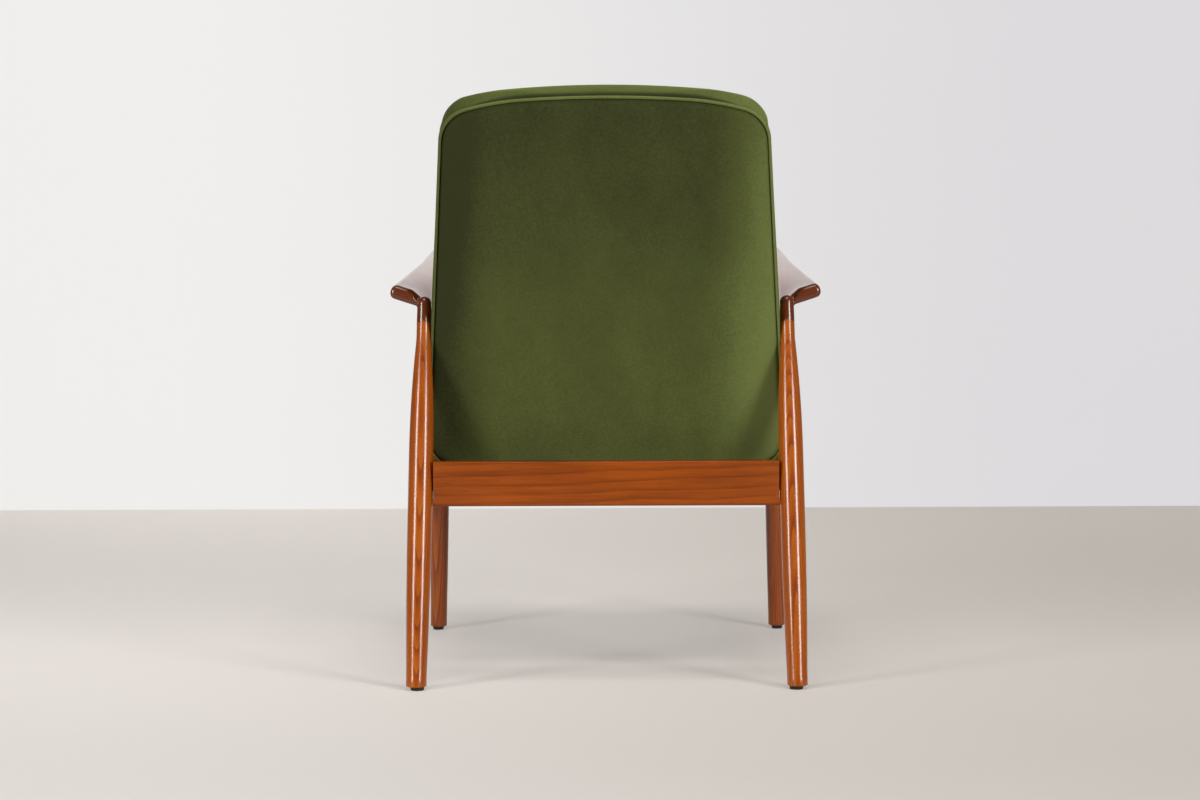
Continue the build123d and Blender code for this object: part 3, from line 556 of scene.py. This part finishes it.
for side, mirrored in (("left", False), ("right", True)):
    bm = carvedArm()
    post = bmesh.new()
    joint = rearAxis(legs["jointHeight"] - arm["into"])
    top = rearAxis(legs["jointHeight"] + arm["knuckleRise"])
    turned(post, knuckleProfile((top - joint).length), 40)
    alongAxis(post, post.verts, joint, top)
    knuckleMesh = bpy.data.meshes.new("knuckle")
    post.to_mesh(knuckleMesh)
    post.free()
    bm.from_mesh(knuckleMesh)
    bpy.data.meshes.remove(knuckleMesh)
    if mirrored:
        flipSide(bm)
    carved = piece(bm, side + "Arm", "arm", "stained_wood", side + "_arm")
    rewoven(carved, arm["voxel"])
    eased(carved, arm["rubs"])
print("arms carved")

back = {
    "recline": 15.5, "setback": 106.1, "railMiddle": 319.5, "railRise": 11.5, "height": 623.5, "draw": 30.0,
    "flare": 3.2, "lowerCorner": 50.0, "crownRadius": 1900.0, "shoulderRadius": 440.0, "shoulderTurn": 15.7,
    "cornerRadius": 55.0, "side": 76.0, "roll": 20.0, "crown": 20.0, "reach": 250.0, "taper": 2.4,
    "bulge": 7.0, "seam": 4.0, "topLift": 10.5, "liftRun": 60.0, "start": 2.0, "cap": 9.0, "pressure": 4.0,
    "startRun": 12.0, "tacked": 3.0,
    "panelEdge": 3.2, "panelRound": 7.0, "panelPower": 2.2, "panelCrown": 6.0, "panelReach": 170.0,
    "panelGap": 1.2, "panelLift": 0.6, "flange": 0.2, "flangeInset": 0.4,
    "panelSteps": (0.0, 0.3, 0.9, 1.8, 3.0, 4.8, 7.0, 11.0, 18.0, 32.0, 55.0, 90.0, 130.0, 170.0),
    "welt": 4.3, "weltInset": 1.7, "weltSides": 12,
}
backLean = radians(back["recline"])
backZ = back["railMiddle"] + back["railRise"]
backY = rearAxis(backZ).y - back["setback"]
backHalf = legs["halfSpread"] - back["draw"]
backMiddle = back["height"] / 2
backPlane = Matrix(((1, 0, 0, 0), (0, sin(backLean), -cos(backLean), backY),
                    (0, cos(backLean), sin(backLean), backZ), (0, 0, 0, 1)))
sideTurn, shoulderTurn = radians(90 - back["flare"]), radians(back["shoulderTurn"])
crownTurn = asin((backHalf - back["shoulderRadius"] * sin(shoulderTurn)
                  - back["cornerRadius"] * (sin(sideTurn) - sin(shoulderTurn)))
                 / (back["crownRadius"] - back["shoulderRadius"]))


def topPoint(turn):
    x, drop, start = 0.0, 0.0, 0.0
    for radius, end in ((back["crownRadius"], crownTurn), (back["shoulderRadius"], shoulderTurn),
                        (back["cornerRadius"], sideTurn)):
        stop = min(turn, end)
        if stop > start:
            x += radius * (sin(stop) - sin(start))
            drop += radius * (cos(start) - cos(stop))
            start = stop
    return x, back["height"] - drop


def lowerPoint(turn):
    sideX, sideY = topPoint(sideTurn)
    startY = back["lowerCorner"] * (1 + cos(sideTurn))
    startX = sideX + (sideY - startY) * tan(radians(back["flare"]))
    middleX = startX - back["lowerCorner"] * sin(sideTurn)
    return middleX + back["lowerCorner"] * sin(turn), back["lowerCorner"] * (1 + cos(turn))


def spread(first, last, count):  # evenly between two values, without the last
    return [first + (last - first) * number / count for number in range(count)]


def backOutline():  # from the bottom centre up the left side and round
    half = [(x, 0.0) for x in spread(0.0, lowerPoint(pi)[0], 12)]
    half += [lowerPoint(turn) for turn in spread(pi, sideTurn, 14)]
    low, high = lowerPoint(sideTurn), topPoint(sideTurn)
    half += list(zip(spread(low[0], high[0], 30), spread(low[1], high[1], 30)))
    half += [topPoint(turn) for turn in spread(sideTurn, shoulderTurn, 14)]
    half += [topPoint(turn) for turn in spread(shoulderTurn, crownTurn, 10)]
    half += [topPoint(turn) for turn in spread(crownTurn, 0.0, 8)] + [(0.0, back["height"])]
    return half + [(-x, y) for x, y in reversed(half[1:-1])]


outline = backOutline()


def backLoop(inset, depth, tilt=0.0, lift=0.0):  # the outline at a depth in front of the rear panel
    size = 1 - inset / backHalf
    rise = lift / back["height"]
    turn = Matrix.Translation((0, backMiddle, depth)) @ Matrix.Rotation(radians(tilt), 4, "X")
    points = [Vector((x * size, (y - backMiddle + y * rise) * size, 0)) for x, y in outline]
    return [backPlane @ turn @ point for point in points]


padding = {
    "lap": (10.0, 3.0), "sideStops": (0.0, 0.05, 0.1, 0.2, 0.4, 0.6, 0.8), "seamShare": 0.12,
    "seamPower": 1.5, "rollSteps": 5, "topStops": (0.05, 0.12, 0.2, 0.3, 0.42, 0.56, 0.7, 0.85, 1.0),
}


def paddedRows(form):  # depth and draw-in, from the lap under the frame to the crown
    side, roll = form["side"], form["roll"]
    rows = [(0.0, form["seam"] + inset) for inset in padding["lap"]]
    for share in padding["sideStops"]:
        crease = form["seam"] * max(0.0, 1 - share / padding["seamShare"]) ** padding["seamPower"]
        rows.append((side * share, crease - form["bulge"] * sin(pi * share)))
    for turn in spread(0.0, pi / 2, padding["rollSteps"]):
        rows.append((side + roll * sin(turn), roll - roll * cos(turn)))
    for share in padding["topStops"]:
        rise = form["crown"] * (1 - (1 - share) ** 2)
        rows.append((side + roll + rise, roll + (form["reach"] - roll) * share))
    return rows


def skin(bm, loops, tube=False):  # stitch loops of equal count into a closed form
    rings = []
    for loop in loops:
        verts = [bm.verts.new(point) for point in loop]
        for pair in zip(verts, verts[1:] + verts[:1]):
            bm.edges.new(pair)
        rings.append(verts)
    for first, second in zip(rings, rings[1:] + rings[:1] if tube else rings[1:]):
        bmesh.ops.bridge_loops(bm, edges=ringEdges(first) + ringEdges(second))
    for ring in () if tube else (rings[0], rings[-1]):
        bmesh.ops.contextual_create(bm, geom=ringEdges(ring))


stuffing = {"frames": 20, "quality": 6, "mass": 0.3, "stretch": 18, "shear": 8, "bending": 1.5}


def stuffed(made, form, held):  # fill the cover by a short cloth simulation
    rest = [vert.co.copy() for vert in made.data.vertices]
    group = made.vertex_groups.new(name="held")
    group.add([vert.index for vert in made.data.vertices if held(vert.co)], 1.0, "REPLACE")
    rules = made.modifiers.new("stuffing", "CLOTH").settings
    rules.quality, rules.mass = stuffing["quality"], stuffing["mass"]
    rules.tension_stiffness = rules.compression_stiffness = stuffing["stretch"]
    rules.shear_stiffness, rules.bending_stiffness = stuffing["shear"], stuffing["bending"]
    rules.use_pressure, rules.uniform_pressure_force = True, form["pressure"]
    rules.effector_weights.gravity = 0
    rules.vertex_group_mass = "held"
    for number in range(1, stuffing["frames"] + 1):
        scene.frame_set(number)
    swollen = settle(made)
    cap = form["cap"] * mm
    for vert, start in zip(swollen.vertices, rest):
        move = vert.co - start
        if move.length > cap:
            vert.co = start + move.normalized() * cap
    scene.frame_set(1)
    print(made.name, "filled")
    eased(made, 1, held)
    smoothed(made)


thick = back["side"] + back["roll"] + back["crown"]
backLoops = []
for depth, inset in paddedRows(back):
    start = back["start"] * min(1.0, depth / back["startRun"])
    lift = back["topLift"] * min(1.0, depth / back["liftRun"])
    backLoops.append(backLoop(inset + start, depth, -back["taper"] * depth / thick, lift))
bm = bmesh.new()
skin(bm, backLoops)
creaseLine = (backY * mm, backZ * mm, backLean)
# the back cushion: a touch lighter, with painted light and shade across it and painted shade in the crease
# behind the welt
paints["cushion"] = pileCloth("greenVelvetCushion", 0.05, 0.8, 0.0, 0.3, creaseLine)
backCushion = piece(bm, "backCushion", "cushion", "velvet", "back_cover", "back_pad", "back_webbing",
                    sharp=180)
toBack = backPlane.inverted()
stuffed(backCushion, back, lambda spot: (toBack @ (spot / mm)).z < back["tacked"])

weltRadius = back["welt"] / 2
panelEdge = back["weltInset"] + weltRadius + back["panelGap"]
flange = back["flange"]  # lies under the welt
panelRows = [(0.0, back["flangeInset"]), (-flange, back["flangeInset"]), (-flange, panelEdge)]
for away in back["panelSteps"]:
    rounding = back["panelEdge"] * (1 - max(0.0, 1 - away / back["panelRound"]) ** back["panelPower"])
    rise = back["panelLift"] + rounding + back["panelCrown"] * (1 - (1 - away / back["panelReach"]) ** 2)
    panelRows.append((-rise, panelEdge + away))
bm = bmesh.new()
skin(bm, [backLoop(inset, depth) for depth, inset in panelRows])
backPanel = piece(bm, "backPanel", "panel", "velvet", "back_panel", sharp=180)

bm = bmesh.new()
turns = spread(0.0, 2 * pi, back["weltSides"])
around = [(weltRadius * cos(turn), weltRadius * sin(turn)) for turn in turns]
skin(bm, [backLoop(back["weltInset"] + out, rise - weltRadius - flange) for out, rise in around], tube=True)
piece(bm, "backWelt", "welt", "velvet", "back_welt", sharp=180)
print("back upholstered")

seat = {
    "side": 54.0, "roll": 18.0, "crown": 14.0, "reach": 195.0, "bulge": 4.0, "seam": 0.0,
    "frontCorner": 42.0, "rearCorner": 24.0, "start": 4.0, "startRun": 12.0, "cap": 9.0,
    "pressure": 4.0, "tacked": 22.0,
}
lining = {"thick": 0.8, "sag": 1.5, "columns": 24, "rows": 20}
liningLow, liningHigh = (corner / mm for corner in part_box("seat_lining"))
liningWidth, liningDepth = liningHigh.x - liningLow.x, liningHigh.y - liningLow.y
seatTilt = atan((liningHigh.z - liningLow.z - lining["thick"]) / liningDepth)
seatPlane = Matrix(((1, 0, 0, 0), (0, cos(seatTilt), sin(seatTilt), liningLow.y),
                    (0, -sin(seatTilt), cos(seatTilt), liningHigh.z), (0, 0, 0, 1)))
toSeat = seatPlane.inverted()
coverSpots = [toSeat @ (vert.co / mm) for vert in nodes["seat_cover"].data.vertices]
seat["half"] = (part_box("seat_cover")[1] / mm).x - seat["bulge"]
seat["front"] = min(spot.y for spot in coverSpots) + seat["bulge"]
seat["rear"] = max(spot.y for spot in coverSpots) - seat["bulge"]


def seatLoop(inset, height):
    front, rear = seat["front"] + inset, seat["rear"] - inset
    half = seat["half"] - inset
    f, r = seat["frontCorner"], seat["rearCorner"]
    points = [(x, front) for x in spread(-half + f, half - f, 24)]
    points += [(half - f + f * sin(t), front + f - f * cos(t)) for t in spread(0, pi / 2, 10)]
    points += [(half, y) for y in spread(front + f, rear - r, 18)]
    points += [(half - r + r * cos(t), rear - r + r * sin(t)) for t in spread(0, pi / 2, 8)]
    points += [(x, rear) for x in spread(half - r, -half + r, 24)]
    points += [(-half + r - r * sin(t), rear - r + r * cos(t)) for t in spread(0, pi / 2, 8)]
    points += [(-half, y) for y in spread(rear - r, front + f, 18)]
    points += [(-half + f - f * cos(t), front + f - f * sin(t)) for t in spread(0, pi / 2, 10)]
    return [seatPlane @ Vector((x, y, height)) for x, y in points]


seatLoops = []
for height, inset in paddedRows(seat):
    start = seat["start"] * min(1.0, max(0.0, height - seat["tacked"]) / seat["startRun"])
    seatLoops.append(seatLoop(inset + start, height))
bm = bmesh.new()
skin(bm, seatLoops)
seatCushion = piece(bm, "seatCushion", "velvet", "velvet", "seat_cover", "seat_pad", "seat_webbing",
                    sharp=180)
stuffed(seatCushion, seat, lambda spot: (toSeat @ (spot / mm)).z < seat["tacked"])

bm = bmesh.new()
bmesh.ops.create_grid(bm, x_segments=lining["columns"], y_segments=lining["rows"], size=0.5)
size = (liningWidth, liningDepth / cos(seatTilt), 1.0)
bmesh.ops.scale(bm, vec=size, verts=bm.verts)
for vert in bm.verts:
    slack = (1 - (2 * vert.co.x / size[0]) ** 2) * (1 - (2 * vert.co.y / size[1]) ** 2)
    vert.co.z = -lining["thick"] / 2 - lining["sag"] * slack
bmesh.ops.translate(bm, vec=(0, size[1] / 2, 0), verts=bm.verts)
bmesh.ops.transform(bm, matrix=seatPlane, verts=bm.verts)
seatLining = piece(bm, "seatLining", "lining", "lining", "seat_lining", sharp=180)
wall = seatLining.modifiers.new("cloth", "SOLIDIFY")
wall.thickness, wall.offset = lining["thick"] * mm, 0.0
print("seat upholstered")

room = {
    "floorLeft": tint(246, 239, 233), "floorRight": tint(216, 209, 201), "floorGlow": 0.35,
    "floorHalf": 14.0,
    "wallLeft": tint(240, 239, 237), "wallRight": tint(221, 219, 221), "wallGlow": 0.9,
    "wallY": -2.31, "wallHalf": 1.9, "wallHeight": 2.4,
    "fade": (1.1, -1.1), "near": (-0.2, 1.2), "nearDim": 0.16,  # where the painted light and shade change, in metres
    "airTint": (1.0, 0.99, 0.98, 1.0), "air": 0.14,
}


def paleSurface(name, left, right, glow):  # glow: the share that shows as written, whatever the light
    p = Paint(name, Specular_IOR_Level=0.2)
    soft = p.noise(p.place(), 3.0, 2.0)
    x, y, z = p.split(p.place())
    # painted light: the surface is lighter toward +X
    colour = p.mix(p.clamp(x, *room["fade"]), left, right)
    # painted shade: the floor darkens toward the camera
    colour = p.mix(p.clamp(y, *room["near"]) * room["nearDim"], colour, grey(0.0))
    colour = p.mix(soft * 0.04, colour, grey(1.0))
    p.finish(colour, 0.7 + soft * 0.1)
    geometry = p.tree.nodes.new("ShaderNodeNewGeometry")
    faced = 1.0 - Term(p, geometry.outputs["Backfacing"])  # clear when seen from its rear
    p.feed(p.shader.inputs["Alpha"], faced)
    rays = p.tree.nodes.new("ShaderNodeLightPath").outputs
    seen = sum((Term(p, rays[ray]) for ray in ("Is Glossy Ray", "Is Transmission Ray")),
               Term(p, rays["Is Camera Ray"]))
    lit = p.put("ShaderNodeEmission", {}, {"Color": colour, "Strength": 1.0})
    sockets = {0: seen * faced * glow, 1: Term(p, p.shader.outputs[0]), 2: lit}
    p.feed(p.tree.nodes["Material Output"].inputs["Surface"], p.put("ShaderNodeMixShader", {}, sockets))
    return p.material


def stagePlane(name, halves, turn, middle, material):
    bm = bmesh.new()
    bmesh.ops.create_grid(bm, x_segments=1, y_segments=1, size=1.0)
    bmesh.ops.scale(bm, vec=(*halves, 1), verts=bm.verts)
    bmesh.ops.rotate(bm, cent=(0, 0, 0), matrix=Matrix.Rotation(turn, 3, "X"), verts=bm.verts)
    bmesh.ops.translate(bm, vec=middle, verts=bm.verts)
    mesh = bpy.data.meshes.new(name)
    bm.to_mesh(mesh)
    bm.free()
    mesh.materials.append(material)
    made = bpy.data.objects.new(name, mesh)
    scene.collection.objects.link(made)
    return made


paleFloor = paleSurface("paleFloor", room["floorLeft"], room["floorRight"], room["floorGlow"])
paleBackdrop = paleSurface("paleBackdrop", room["wallLeft"], room["wallRight"], room["wallGlow"])
wallRise = room["wallHeight"] / 2
wallMiddle = (0, room["wallY"], wallRise)
floor = stagePlane("floor", (room["floorHalf"], room["floorHalf"]), 0, (0, 0, 0), paleFloor)
backdrop = stagePlane("backdrop", (room["wallHalf"], wallRise), -pi / 2, wallMiddle, paleBackdrop)

world = bpy.data.worlds.new("softRoom")
scene.world = world
world.use_nodes = True
air = world.node_tree.nodes["Background"].inputs
air["Color"].default_value, air["Strength"].default_value = room["airTint"], room["air"]

lamps = {  # spot, aim and size in metres, power in watts; the softboxes draw the streaks on the legs
    "leftSoftbox": ((3.75, 3.60, 1.75), (0.0, 0.30, 0.45), (1.15, 1.7), 142.0),
    "rightSoftbox": ((-3.35, 4.00, 1.75), (0.0, 0.30, 0.45), (1.25, 1.7), 171.0),
    "topPanel": ((0.0, 1.10, 3.10), (0.0, 0.10, 0.30), (1.8, 1.2), 40.0),
}
for lampName, (spot, aim, span, power) in lamps.items():
    light = bpy.data.lights.new(lampName, "AREA")
    light.shape, light.size, light.size_y = "RECTANGLE", *span
    light.energy = power
    shone = bpy.data.objects.new(lampName, light)
    shone.location = spot
    shone.rotation_euler = (Vector(aim) - Vector(spot)).to_track_quat("-Z", "Y").to_euler()
    scene.collection.objects.link(shone)

eye = {  # metres, degrees and millimetres
    "spot": (-0.0147, 6.0865, 0.900), "pitch": 4.43, "roll": 0.24, "yaw": 0.218, "lens": 110.0,
    "sensor": 36.0, "reach": 60.0,
}
view = bpy.data.cameras.new("rearView")
view.lens, view.sensor_width, view.clip_end = eye["lens"], eye["sensor"], eye["reach"]
camera = bpy.data.objects.new("rearView", view)
camera.location = eye["spot"]
camera.rotation_euler = [radians(turn) for turn in (90 - eye["pitch"], eye["roll"], 180 + eye["yaw"])]
scene.collection.objects.link(camera)
scene.camera = camera
scene.view_settings.view_transform = "Standard"
print("stage, lamps and camera set")
